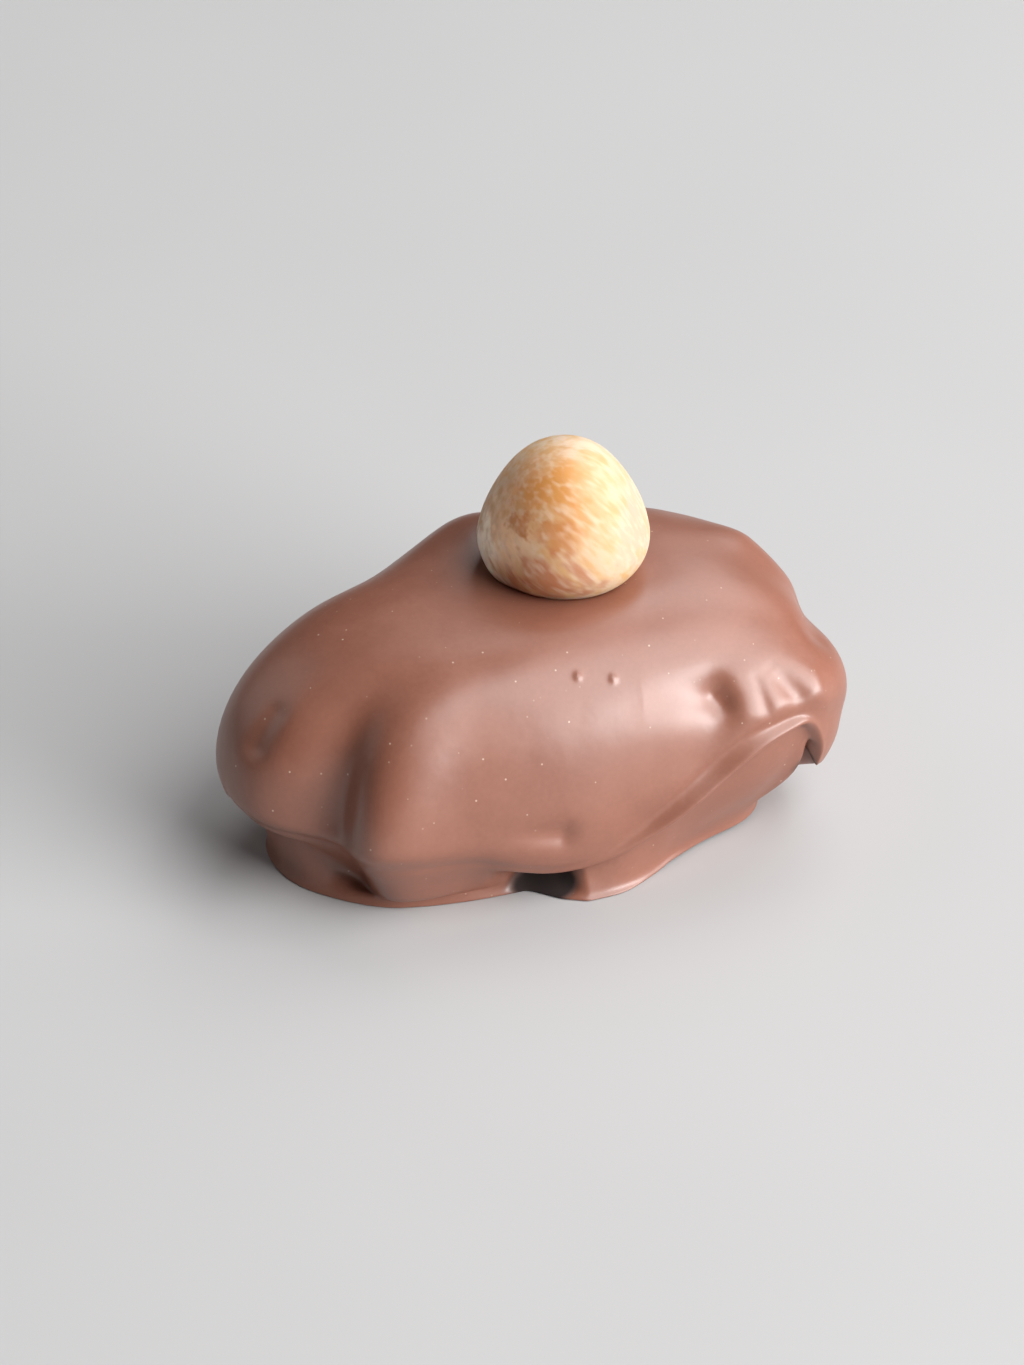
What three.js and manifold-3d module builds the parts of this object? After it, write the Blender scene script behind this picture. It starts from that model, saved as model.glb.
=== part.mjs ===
// Loaf-shaped praline in a poured milk chocolate coat, with one whole blanched hazelnut kernel
// pressed into its crown.
// Millimetres, +Z up, standing on z = 0. +X is the squared end, where the coat hangs in a tongue,
// and -Y is the long front side.

import * as THREE from 'three';
import { mergeVertices } from 'three/addons/utils/BufferGeometryUtils.js';
import Module from 'manifold-3d';

// Driving dimensions
const LENGTH = 44; // chocolate, end to end at its widest height
const WIDTH = 26; // chocolate, front to back at its widest height
const HEIGHT = 18.2; // chocolate, foot to crown
const KERNEL_WIDTH = 12.5;
const KERNEL_HEIGHT = 11;
const SEAT_GAP = 0.3; // clearance between the kernel and its seat

// Places on the chocolate are shares of half its length, half its width and its height.
const along = (share) => (share * LENGTH) / 2;
const across = (share) => (share * WIDTH) / 2;
const up = (share) => share * HEIGHT;
const degrees = THREE.MathUtils.degToRad;

// Facets: the angles crowd towards the tongue, and the rows lie between the profile's points.
const ANGLES = 104;
const CROWDING = 0.45;
const UNDERSIDE_ROWS = [1, 1, 1, 1, 1];
const FOOT_ROWS = [1, 1, 1, 2];
const EDGE_ROWS = [2, 2, 2, 2, 2, 2];
const SIDE_ROWS = [3, 6, 7, 6];
const CROWN_ROWS = [4, 2, 1, 1];
const PROFILE_ROWS = [...UNDERSIDE_ROWS, ...FOOT_ROWS, ...EDGE_ROWS, ...SIDE_ROWS, ...CROWN_ROWS];
const KERNEL_ANGLES = 40;
const KERNEL_ROWS = 24;

// Widest outline, in shares: a rounded oblong whose squareness (2 is an ellipse) changes at its corners
const SQUARENESS = 2.35;
const TAPER = 0.1; // share of the width gained towards +X
const CORNERS = [
  { angle: degrees(-30), spread: 0.55, gain: 1.2 },
  { angle: degrees(40), spread: 0.5, gain: 0.5 },
  { angle: degrees(145), spread: 0.6, gain: -0.35 },
];
const WIDEST = { length: 1, width: 1, x: 0, y: 0, z: 0.484, taper: TAPER };
const BEAM_HEIGHT = up(WIDEST.z);
const BEAM_HEIGHT_FRONT = up(0.36);
const BEAM_ABOVE_EDGE = 2;
const BEAM_BLEND = 0.9; // softness of the turn where the widest height starts to follow the edge
const LEAN = 0.14; // how far the coat leans inwards for each millimetre over the widest outline

// Outlines over the widest one
const SHOULDER = { length: 0.95, width: 0.915, x: 0.027, y: 0.05, z: 0.725, taper: TAPER };
const BROW = { length: 0.736, width: 0.7, x: 0.073, y: 0.09, z: 0.94, taper: 0.08 };
const CROWN = { length: 0.459, width: 0.5, x: 0.16, y: 0.14, z: 1, taper: 0 };

// Seat of the kernel, and the dome that it is cut from
const SEAT = { x: along(0.215), y: across(0.146), z: HEIGHT };
const SEAT_DEPTH = 1.2;
const DOME_RADII = [5.4, 2.7];

// Lower edge of the coat: its height above the ground round the piece
const EDGE_FRONT = 2.2;
const EDGE_BACK = 3.6;
const EDGE_LEFT = 5.5;
const EDGE_LEFT_RISE = { height: 1.9, from: along(-0.02), to: along(-0.43) };
const EDGE_RIGHT_RISE = { from: along(0.086), slope: 0.6, ease: 1.6, limit: 7.9, turn: 12 }; // then level
const BACK_WAVES = { count: 5, height: 0.4 };

// Edge, from the widest outline: its lip overhangs the foot, and a bead, a channel and a skirt lie over it
const EDGE_INSET = 0.8;
const EDGE_INSET_LEFT = 0.6;
const EDGE_LIP = 1.5;
const EDGE_LIP_SHARE = 0.55; // share of the lip that is flat underneath
const EDGE_UNDER = 0.2; // height of the rounded lip
const BEAD = { insetShare: 0.9, height: 0.45 };
const CHANNEL = { insetShare: 0.65, height: 0.9 };
const SKIRT = { insetShare: 0.3, height: 1.45 };

// Front side, left end and rounded underside of the left half
const FRONT_FROM = across(0.23);
const FRONT_TO = across(-0.46);
const LEFT_FROM = along(-0.64);
const LEFT_TO = along(-0.94);
const BELLY = { from: along(-0.2), full: along(-0.36), fade: along(-0.81), to: along(-1) };
const BELLY_INSET = 0.3;
const BELLY_LIP = 0.2;
const BELLY_BOTTOM = 1;

// Tongue of the coat at the squared end, curled inwards below, with a slit behind it
const TONGUE = { from: degrees(-36), full: degrees(-28.8), fade: degrees(40), to: degrees(72), turn: 4 };
const TONGUE_EDGE = 5.4;
const TONGUE_FALL = { height: 2.3, to: degrees(-18.5) }; // how much lower the edge runs along the end
const TONGUE_INSET = 0.4;
const TONGUE_LIP_SHARE = 0.1;
const TONGUE_BEAD_HEIGHT = 1;
const TONGUE_CHANNEL_HEIGHT = 2.6;
const TONGUE_SKIRT_TO = degrees(0);
const SKIRT_DROP_TO = degrees(-14); // where the skirt has come down to the middle of the tongue
const UNDERCUT = { from: degrees(-38), full: degrees(-31), inset: 0.95, top: 9, deepest: 1.5 };
const SLIT = { from: degrees(-30.5), full: degrees(-29.2), fade: degrees(-24), to: degrees(-19.5) };
const SLIT_TOP = 9.5;
const SLIT_WALL = 2.6;

// Fold: to the right of the front the edge is only a bead, with a deeper channel over it
const FOLD = { from: along(-0.1), to: along(0.35), inset: -0.8, lip: -0.5 };
const FOLD_NARROW = { from: along(0.55), to: along(0.75), share: 0.55 }; // bead and channel near the slit
const FOLD_CHANNEL = { bead: -0.12, channel: 0.5, skirt: 0.75, beam: 0.4 };
const FOLD_CHANNEL_FADE = { from: degrees(-36), to: degrees(-28) };

// Foot: its outline lies inside the widest one
const FOOT_INSET = 2.8;
const FOOT_INSET_LEFT = 0.9;
const FOOT_RIGHT = { from: along(0.08), to: along(0.78), inset: 4.4 };
const FOOT_INNER = { from: along(-0.2), to: along(0), inset: -2.2 };
const FOOT_BEAD = { out: 0.1, height: 0.12 };
const FILM_TOP = { outShare: 0.45, height: 0.28 };
const FOOT_TOP = { inset: 0.2, height: 0.8 };
const FOOT_LIFT = { height: 0.3, underShare: 0.3, from: along(0.273), to: along(0.41) };
const WALL_BULGE = { out: 2.1, footOut: 0.4, footHeight: 0.6, from: along(0.38), to: along(0.75) };
const WALL_BULGE_FADE = { from: degrees(-27), to: degrees(-20) };
const RECESS = { from: along(-0.28), full: along(-0.18), fade: along(-0.06), to: along(0.03), depth: 1.2 };
const FILM = { from: along(-0.03), full: along(0.025), fade: along(0.12), to: along(0.3) };
const FILM_OUT = 0.4;
const FILM_LIP = -0.7;
const UNDERSIDE_SHARES = [0.4, 0.8, 0.95];

// Upright ridge at the front left corner, the valley beside it and the nose over the tongue
const UPRIGHTS = [
  { angle: degrees(-141), spread: 0.17, out: 1.3 },
  { angle: degrees(-157), spread: 0.15, out: -2.4 },
  { angle: degrees(-21), spread: 0.25, out: 1.4 },
];
const UPRIGHT_AT_EDGE = 0.8;
const UPRIGHT_AT_BEAM = 1.3;
const UPRIGHT_LIFT = 0.3;

// Dents and bumps of the coat: a spot, or a run whose width and height change from end to end
const spot = (place, width, out) => ({ from: place, to: place, width: [width, width], out: [out, out] });
const run = (from, to, width, out) => ({ from, to, width, out });
const RELIEF = [
  spot([-0.845, -0.43, 0.63], 3.6, 0.3), // bulge of the left end
  run([-0.839, -0.12, 0.764], [-0.909, -0.148, 0.657], [0.9, 1], [-0.25, -0.35]), // left crease
  run([-0.25, -0.94, 0.385], [-0.07, -0.972, 0.335], [0.85, 1], [-0.05, -0.45]), // dimple low on the front
  run([0.25, -0.79, 0.785], [0.477, -0.825, 0.76], [1.8, 1.5], [-0.05, -0.45]), // groove under the shoulder
  run([0.495, -0.845, 0.735], [0.51, -0.875, 0.71], [0.9, 0.9], [-0.2, -0.25]), // pit at its end
  run([0.49, -0.89, 0.69], [0.44, -0.985, 0.53], [2, 2.2], [-0.4, -0.3]), // hollow below the pit
  run([0.56, -0.809, 0.771], [0.567, -0.92, 0.67], [0.8, 0.9], [0.08, 0.15]), // ridge beside the pit
  run([0.635, -0.818, 0.761], [0.647, -0.958, 0.652], [0.45, 0.5], [-0.05, -0.16]), // thin crease
  run([0.7, -0.79, 0.765], [0.762, -0.92, 0.686], [0.85, 0.9], [-0.12, -0.38]), // second pit
  run([0.64, -0.74, 0.81], [0.84, -0.8, 0.72], [1.3, 1.3], [0.1, 0.22]), // brow over it
  run([0.66, -0.985, 0.62], [0.83, -0.9, 0.6], [1.1, 1.2], [0.05, 0.12]), // ridge under it
  run([0.98, -0.23, 0.736], [0.945, -0.54, 0.77], [1.8, 1.8], [-0.55, -0.55]), // notch over the nose
  spot([0.05, 0.8, 0.88], 3.7, 1.3), // hump behind the kernel
  spot([-0.35, 0.69, 0.87], 3.6, -0.5), // hollow at the back left
  run([0.5, 0.6, 0.93], [0.68, 0.52, 0.93], [3, 3], [-0.35, -0.35]), // hollow at the back right
  run([0.864, 0.154, 0.9], [0.95, -0.03, 0.78], [2.6, 2.2], [0.8, 0.6]), // shoulder of the squared end
];
const RELIEF_FLOOR = [0.5, 1.5]; // heights between which the relief fades in, so that the foot stays flat

// Kernel: widest low down, with a narrower crown, three weak lobes, flats and one fuller place
const KERNEL_LOW = KERNEL_HEIGHT * 0.36;
const KERNEL_HIGH = KERNEL_HEIGHT - KERNEL_LOW;
const KERNEL_FULLNESS = 0.84;
const KERNEL_CROWN = { narrowing: 0.19, from: -0.1 };
const KERNEL_LOBES = { count: 3, share: 0.015, turn: degrees(20) };
const KERNEL_FLATS = [
  { angle: degrees(-28), level: 0.45, spread: 0.5, share: -0.07 },
  { angle: degrees(-113), level: -0.6, spread: 0.6, share: -0.055 },
  { angle: degrees(178), level: -0.85, spread: 0.35, share: 0.11 },
  { angle: degrees(150), level: 0.3, spread: 0.6, share: -0.05 },
  { angle: degrees(-165), level: -0.25, spread: 0.4, share: -0.04 },
  { angle: degrees(-80), level: 0.45, spread: 0.5, share: -0.03 },
];

// Colours and finish
const CHOCOLATE = { color: 0x9a6350, roughness: 0.4, metalness: 0 };
const HAZELNUT = { color: 0xe8c48c, roughness: 0.55, metalness: 0 };

const { clamp, lerp: mix } = THREE.MathUtils;
const bell = (distance, width) => Math.exp(-((distance / width) ** 2));

// 0 before the first place and 1 after the second, whichever way they lie
function ramp(value, from, to) {
  const share = clamp((value - from) / (to - from), 0, 1);
  return share * share * (3 - 2 * share);
}

// 0 well below zero and the value itself well above it, with an eased turn between them
function softRise(value, ease) {
  return ease * Math.log1p(Math.exp(value / ease));
}

// Smallest turn between two angles
function turnBetween(first, second) {
  return Math.atan2(Math.sin(first - second), Math.cos(first - second));
}

function squarenessAt(angle) {
  let squareness = SQUARENESS;
  for (const corner of CORNERS) {
    squareness += corner.gain * bell(turnBetween(angle, corner.angle), corner.spread);
  }
  return squareness;
}

// Point of a rounded oblong of the given length and width, seen from its centre at an angle
function outlinePoint(angle, { length, width, x, y, z, taper }) {
  const squareness = squarenessAt(angle);
  const reach =
    (Math.abs(Math.cos(angle) / along(length)) ** squareness +
      Math.abs(Math.sin(angle) / across(width)) ** squareness) **
    (-1 / squareness);
  const right = reach * Math.cos(angle);
  const back = reach * Math.sin(angle) * (1 + taper * (right / along(1)));
  return new THREE.Vector3(along(x) + right, across(y) + back, up(z));
}

// How far each feature of the coat and the foot counts at one angle, from 0 to 1
function featuresAt(angle, beam) {
  const front = ramp(beam.y, FRONT_FROM, FRONT_TO);
  const tongueEnd = ramp(angle, TONGUE.to, TONGUE.fade);
  const tongueRun = clamp((angle - TONGUE.from) / (TONGUE.full - TONGUE.from), 0, 1);
  const tongue = tongueRun ** TONGUE.turn * tongueEnd;
  const fold = front * ramp(beam.x, FOLD.from, FOLD.to) * (1 - tongue);
  let upright = 0;
  for (const { angle: middle, spread, out } of UPRIGHTS) {
    upright += out * bell(turnBetween(angle, middle), spread);
  }
  return {
    front,
    tongue,
    fold,
    upright,
    slit: ramp(angle, SLIT.from, SLIT.full) * ramp(angle, SLIT.to, SLIT.fade),
    skirtDrop: ramp(angle, TONGUE.from, SKIRT_DROP_TO) * tongueEnd,
    undercut: front * ramp(angle, UNDERCUT.from, UNDERCUT.full),
    left: ramp(beam.x, LEFT_FROM, LEFT_TO),
    belly: front * ramp(beam.x, BELLY.from, BELLY.full) * ramp(beam.x, BELLY.to, BELLY.fade),
    channel: fold * ramp(angle, FOLD_CHANNEL_FADE.to, FOLD_CHANNEL_FADE.from),
    recess: front * ramp(beam.x, RECESS.from, RECESS.full) * ramp(beam.x, RECESS.to, RECESS.fade),
    film: front * ramp(beam.x, FILM.from, FILM.full) * ramp(beam.x, FILM.to, FILM.fade),
    bulge:
      front *
      ramp(beam.x, WALL_BULGE.from, WALL_BULGE.to) *
      ramp(angle, WALL_BULGE_FADE.to, WALL_BULGE_FADE.from),
    narrow: front * ramp(beam.x, FOLD_NARROW.from, FOLD_NARROW.to),
  };
}

// Heights of the coat's lower edge, and of the same edge as the skirt over it follows it
function edgeHeights(angle, beam, { front, left, tongue, upright }) {
  const leftRise = EDGE_LEFT_RISE.height * ramp(beam.x, EDGE_LEFT_RISE.from, EDGE_LEFT_RISE.to);
  const { from, slope, ease, limit, turn } = EDGE_RIGHT_RISE;
  const climb = slope * softRise(beam.x - from, ease);
  const rightRise = climb / (1 + (climb / limit) ** turn) ** (1 / turn);
  const back = EDGE_BACK + BACK_WAVES.height * Math.sin(BACK_WAVES.count * angle);
  const side = mix(back, EDGE_FRONT + leftRise + rightRise, front);
  const beforeTongue = mix(side, TONGUE_EDGE, ramp(angle, TONGUE.from, TONGUE_SKIRT_TO));
  const tongueEdge = TONGUE_EDGE - TONGUE_FALL.height * ramp(angle, TONGUE.full, TONGUE_FALL.to);
  const heightWith = (tongueHeight) => mix(mix(side, tongueHeight, tongue), EDGE_LEFT, left);
  const lift = UPRIGHT_LIFT * upright * (1 - tongue);
  return { edge: heightWith(tongueEdge) + lift, outerEdge: heightWith(beforeTongue) + lift };
}

// Points of the foot at one angle, from the middle of the underside to the foot's top
function footPoints(beam, features, inside) {
  const { front, left, recess, film, bulge } = features;
  const reach = Math.hypot(beam.x, beam.y);
  const inner = front * ramp(beam.x, FOOT_INNER.from, FOOT_INNER.to);
  const right = front * ramp(beam.x, FOOT_RIGHT.from, FOOT_RIGHT.to);
  const inset =
    FOOT_INSET +
    FOOT_INSET_LEFT * left +
    FOOT_INNER.inset * inner +
    FOOT_RIGHT.inset * right;
  const lift = FOOT_LIFT.height * front * ramp(beam.x, FOOT_LIFT.from, FOOT_LIFT.to);
  const filmOut = FILM_OUT * film;
  const under = (share, z) => inside(reach - share * (reach - inset), z);
  const foot = (out, z) => inside(inset - out, z + lift);
  const [underMiddle, underOuter, underEdge] = UNDERSIDE_SHARES;
  return [
    new THREE.Vector3(0, 0, 0),
    under(underMiddle, 0),
    under(underOuter, FOOT_LIFT.underShare * lift),
    under(underEdge, lift),
    foot(filmOut, 0),
    foot(FOOT_BEAD.out + filmOut, FOOT_BEAD.height),
    foot(FILM_TOP.outShare * filmOut, FILM_TOP.height),
    foot(
      FOOT_TOP.inset * (film - 1) + WALL_BULGE.footOut * bulge - RECESS.depth * recess,
      FOOT_TOP.height + WALL_BULGE.footHeight * bulge,
    ),
  ];
}

// Points of the coat at one angle, from its neck under the edge to its widest height
function coatPoints(angle, beam, features, inside) {
  const { front, left, tongue, slit, belly, fold, channel, film, recess, upright } = features;
  const { edge, outerEdge } = edgeHeights(angle, beam, features);
  const edgeInset =
    EDGE_INSET +
    EDGE_INSET_LEFT * left +
    TONGUE_INSET * tongue +
    BELLY_INSET * belly +
    FOLD.inset * fold;
  const lip = EDGE_LIP + FOLD.lip * fold + FILM_LIP * film + BELLY_LIP * belly + RECESS.depth * recess;
  const beamLevel = mix(BEAM_HEIGHT, BEAM_HEIGHT_FRONT, front);
  const beamLift = outerEdge + BEAM_ABOVE_EDGE - beamLevel;
  const beamHeight = beamLevel + softRise(beamLift, BEAM_BLEND);
  const lean = (z) => LEAN * Math.max(z - beamLevel, 0);
  const coat = (inset, z) => inside(inset + lean(z) - UPRIGHT_AT_EDGE * upright, z);
  const undercut = (inset, z) => {
    const drop = clamp((UNDERCUT.top - z) / (UNDERCUT.top - TONGUE_EDGE), 0, UNDERCUT.deepest);
    return mix(inset, UNDERCUT.inset * drop ** 2, features.undercut);
  };

  const underside = edge - EDGE_UNDER;
  const rimInset = undercut(edgeInset, edge);
  const lipShare = mix(EDGE_LIP_SHARE, TONGUE_LIP_SHARE, tongue);
  const narrow = mix(1, FOLD_NARROW.share, features.narrow);
  const beadHeight = edge + mix(narrow * BEAD.height, TONGUE_BEAD_HEIGHT, tongue);
  const channelHeight = edge + mix(narrow * CHANNEL.height, TONGUE_CHANNEL_HEIGHT, tongue);
  const channelInset = undercut(CHANNEL.insetShare * edgeInset, channelHeight);
  const skirtInset = SKIRT.insetShare * edgeInset * (1 - features.undercut);
  const skirtMiddle = (channelHeight + beamHeight) / 2;
  const skirtHeight = mix(outerEdge + narrow * SKIRT.height, skirtMiddle, features.skirtDrop);
  const beamInset = lean(beamHeight) + FOLD_CHANNEL.beam * channel;
  return [
    coat(rimInset + lip, mix(mix(underside, SLIT_TOP, slit), BELLY_BOTTOM, belly)),
    coat(rimInset + lipShare * lip, mix(underside, (edge + BELLY_BOTTOM) / 2, belly)),
    coat(rimInset, edge),
    coat(undercut(BEAD.insetShare * edgeInset, beadHeight) + FOLD_CHANNEL.bead * channel, beadHeight),
    coat(channelInset + FOLD_CHANNEL.channel * channel, channelHeight),
    coat(skirtInset + FOLD_CHANNEL.skirt * channel, skirtHeight),
    inside(beamInset - UPRIGHT_AT_BEAM * upright, beamHeight),
  ];
}

// Profile of the chocolate at one angle, from the middle of its underside to the middle of its seat
function profileAt(angle) {
  const beam = outlinePoint(angle, WIDEST);
  const features = featuresAt(angle, beam);
  const reach = Math.hypot(beam.x, beam.y);
  const spread = (out) => new THREE.Vector3(1 + out / reach, 1 + out / reach, 1);
  const inside = (inset, z) => new THREE.Vector3(beam.x, beam.y, z).multiply(spread(-inset));

  const foot = footPoints(beam, features, inside);
  const coat = coatPoints(angle, beam, features, inside);
  const bulge = mix(WALL_BULGE.out * features.bulge, SLIT_WALL, features.slit);
  const wall = foot.at(-1).clone().lerp(coat[0], 1 / 2).multiply(spread(bulge));
  const dome = (radius) =>
    new THREE.Vector3(SEAT.x + radius * Math.cos(angle), SEAT.y + radius * Math.sin(angle), SEAT.z);
  return [
    ...foot,
    wall,
    ...coat,
    outlinePoint(angle, SHOULDER).multiply(spread(features.upright)),
    outlinePoint(angle, BROW),
    outlinePoint(angle, CROWN),
    ...DOME_RADII.map(dome),
    dome(0),
  ];
}

// Points along the uniform cubic B-spline of a profile, whose ends are its first and last points
function splineThrough(profile) {
  const first = profile[0];
  const last = profile[profile.length - 1];
  const control = [first, first, ...profile, last, last];
  const points = [];
  PROFILE_ROWS.forEach((rows, span) => {
    for (let row = 0; row < rows; row += 1) {
      const t = row / rows;
      const rising = 1 + 3 * t + 3 * t ** 2 - 3 * t ** 3;
      const weights = [(1 - t) ** 3, 3 * t ** 3 - 6 * t ** 2 + 4, rising, t ** 3];
      const point = new THREE.Vector3();
      weights.forEach((weight, index) => point.addScaledVector(control[span + index], weight / 6));
      points.push(point);
    }
  });
  points.push(last.clone());
  return points;
}

// Closed surface over a grid: columns run round +Z anticlockwise, and their points run upwards
function closedSurface(columns) {
  const angles = columns.length;
  const rows = columns[0].length - 1;
  const geometry = new THREE.SphereGeometry(1, angles, rows);
  const position = geometry.attributes.position;
  for (let row = 0; row <= rows; row += 1) {
    for (let column = 0; column <= angles; column += 1) {
      const point = columns[column % angles][rows - row];
      position.setXYZ(row * (angles + 1) + column, point.x, point.y, point.z);
    }
  }
  geometry.deleteAttribute('normal');
  geometry.deleteAttribute('uv');
  const merged = mergeVertices(geometry);
  merged.computeVertexNormals();
  return merged;
}

// Moves every vertex along its normal by a distance that depends on its place
function pushOut(geometry, distanceAt) {
  const position = geometry.attributes.position;
  const normal = geometry.attributes.normal;
  const point = new THREE.Vector3();
  const direction = new THREE.Vector3();
  for (let index = 0; index < position.count; index += 1) {
    point.fromBufferAttribute(position, index);
    direction.fromBufferAttribute(normal, index);
    point.addScaledVector(direction, distanceAt(point));
    position.setXYZ(index, point.x, point.y, point.z);
  }
  return geometry;
}

// Relief of the coat at a place on it
const placeOf = ([x, y, z]) => new THREE.Vector3(along(x), across(y), up(z));
const reliefLines = RELIEF.map(({ from, to, width, out }) => ({
  line: new THREE.Line3(placeOf(from), placeOf(to)),
  width,
  out,
}));

function reliefAt(point) {
  const nearest = new THREE.Vector3();
  let out = 0;
  for (const { line, width, out: height } of reliefLines) {
    const share = line.distance() > 0 ? line.closestPointToPointParameter(point, true) : 0;
    const distance = line.at(share, nearest).distanceTo(point);
    out += mix(...height, share) * bell(distance, mix(...width, share));
  }
  return out * ramp(point.z, ...RELIEF_FLOOR);
}

function chocolateGeometry() {
  const columns = [];
  for (let column = 0; column < ANGLES; column += 1) {
    const turn = (column / ANGLES) * 2 * Math.PI - Math.PI;
    const angle = turn - CROWDING * Math.sin(turn - TONGUE.full);
    columns.push(splineThrough(profileAt(turnBetween(angle, 0))));
  }
  return pushOut(closedSurface(columns), reliefAt);
}

// Half width of the kernel at a level, from -1 at its foot to 1 at its tip
function kernelReach(level, angle) {
  const round = Math.sqrt(1 - level * level) ** KERNEL_FULLNESS;
  const crown = 1 - KERNEL_CROWN.narrowing * ramp(level, KERNEL_CROWN.from, 1);
  let share = 1 + KERNEL_LOBES.share * Math.cos(KERNEL_LOBES.count * (angle - KERNEL_LOBES.turn));
  for (const flat of KERNEL_FLATS) {
    const turn = turnBetween(angle, flat.angle);
    share += flat.share * bell(Math.hypot(turn, level - flat.level), flat.spread);
  }
  return (KERNEL_WIDTH / 2) * round * crown * share;
}

function kernelGeometry() {
  const middle = SEAT.z - SEAT_DEPTH + KERNEL_LOW;
  const columns = [];
  for (let column = 0; column < KERNEL_ANGLES; column += 1) {
    const angle = (column / KERNEL_ANGLES) * 2 * Math.PI;
    const points = [];
    for (let row = 0; row <= KERNEL_ROWS; row += 1) {
      const level = row === KERNEL_ROWS ? 1 : -Math.cos((row / KERNEL_ROWS) * Math.PI);
      const reach = kernelReach(level, angle);
      const rise = level * (level < 0 ? KERNEL_LOW : KERNEL_HIGH);
      const right = SEAT.x + reach * Math.cos(angle);
      const back = SEAT.y + reach * Math.sin(angle);
      points.push(new THREE.Vector3(right, back, middle + rise));
    }
    columns.push(points);
  }
  return closedSurface(columns);
}

const wasm = await Module();
wasm.setup();

function solidOf(geometry) {
  const vertProperties = new Float32Array(geometry.attributes.position.array);
  const triVerts = new Uint32Array(geometry.index.array);
  return new wasm.Manifold(new wasm.Mesh({ numProp: 3, vertProperties, triVerts }));
}

function geometryOf(solid) {
  const mesh = solid.getMesh();
  const geometry = new THREE.BufferGeometry();
  geometry.setAttribute('position', new THREE.BufferAttribute(mesh.vertProperties, 3));
  geometry.setIndex(new THREE.BufferAttribute(mesh.triVerts, 1));
  geometry.computeVertexNormals();
  return geometry;
}

function namedMesh(name, geometry, finish) {
  const mesh = new THREE.Mesh(geometry, new THREE.MeshStandardMaterial(finish));
  mesh.name = name;
  return mesh;
}

const kernel = kernelGeometry();
const seat = pushOut(kernel.clone(), () => SEAT_GAP);
const chocolate = geometryOf(solidOf(chocolateGeometry()).subtract(solidOf(seat)));

const praline = new THREE.Group();
praline.add(namedMesh('chocolate', chocolate, CHOCOLATE));
praline.add(namedMesh('hazelnut', kernel, HAZELNUT));

// The origin is under the middle of the whole piece.
const box = new THREE.Box3().setFromObject(praline);
const middle = box.getCenter(new THREE.Vector3());
praline.position.set(-middle.x, -middle.y, -box.min.z);

export default praline;
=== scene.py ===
"""Finished look of the chocolate truffle: coat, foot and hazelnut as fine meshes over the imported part."""
import math

import bpy
import numpy as np
from mathutils import Matrix, Vector


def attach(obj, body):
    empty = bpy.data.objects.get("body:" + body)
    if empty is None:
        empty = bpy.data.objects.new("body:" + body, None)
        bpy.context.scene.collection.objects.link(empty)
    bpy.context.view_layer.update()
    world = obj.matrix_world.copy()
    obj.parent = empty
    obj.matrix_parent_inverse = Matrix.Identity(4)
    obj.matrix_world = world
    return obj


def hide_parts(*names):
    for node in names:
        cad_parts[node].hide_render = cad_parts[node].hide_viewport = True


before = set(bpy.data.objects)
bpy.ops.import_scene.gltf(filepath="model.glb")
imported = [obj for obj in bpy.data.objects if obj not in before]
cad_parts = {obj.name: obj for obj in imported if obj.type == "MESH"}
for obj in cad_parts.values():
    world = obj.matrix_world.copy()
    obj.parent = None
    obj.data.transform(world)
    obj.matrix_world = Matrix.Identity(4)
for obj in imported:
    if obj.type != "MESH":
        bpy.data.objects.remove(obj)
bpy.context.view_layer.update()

MM = 0.001
TINY = 1e-9

# Driving dimensions in millimetres, as in the solids
LENGTH = 44.0
WIDTH = 26.0
HEIGHT = 18.2
KERNEL_WIDTH = 12.5
KERNEL_HEIGHT = 11.0

# Photograph: frame in pixels, scale at the origin, the pixel of the origin, and the camera in millimetres
FRAME_WIDTH = 1024
FRAME_HEIGHT = 1365
PIXELS_PER_MM = 14.0
ORIGIN_PIXEL = (512.0, 803.0)
CAMERA_AZIMUTH = math.radians(-23)
CAMERA_ELEVATION = math.radians(35)
CAMERA_DISTANCE = 420.0
CAMERA_SENSOR = 36.0
CAMERA_NEAR = 10.0

# Mesh density: angles round each piece, rows along each span of the chocolate's profile and up the kernel
ANGLES = 520
CROWDING = 0.45
UNDERSIDE_ROWS = [1, 1, 2, 2, 2]
FOOT_ROWS = [3, 4, 5, 6]
EDGE_ROWS = [6, 6, 6, 7, 8, 9]
SIDE_ROWS = [14, 24, 28, 24]
CROWN_ROWS = [14, 8, 4, 2]
PROFILE_ROWS = UNDERSIDE_ROWS + FOOT_ROWS + EDGE_ROWS + SIDE_ROWS + CROWN_ROWS
KERNEL_ANGLES = 220
KERNEL_ROWS = 160


def along(share):
    return share * LENGTH / 2


def across(share):
    return share * WIDTH / 2


def up(share):
    return share * HEIGHT


def run(start, end, widths, heights):
    """Dent or bump of the coat along a line, with its widths and heights at both ends."""
    return dict(start=start, end=end, widths=widths, heights=heights)


def spot(place, width, height):
    """Dent or bump of the coat at one place."""
    return run(place, place, (width, width), (height, height))


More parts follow.
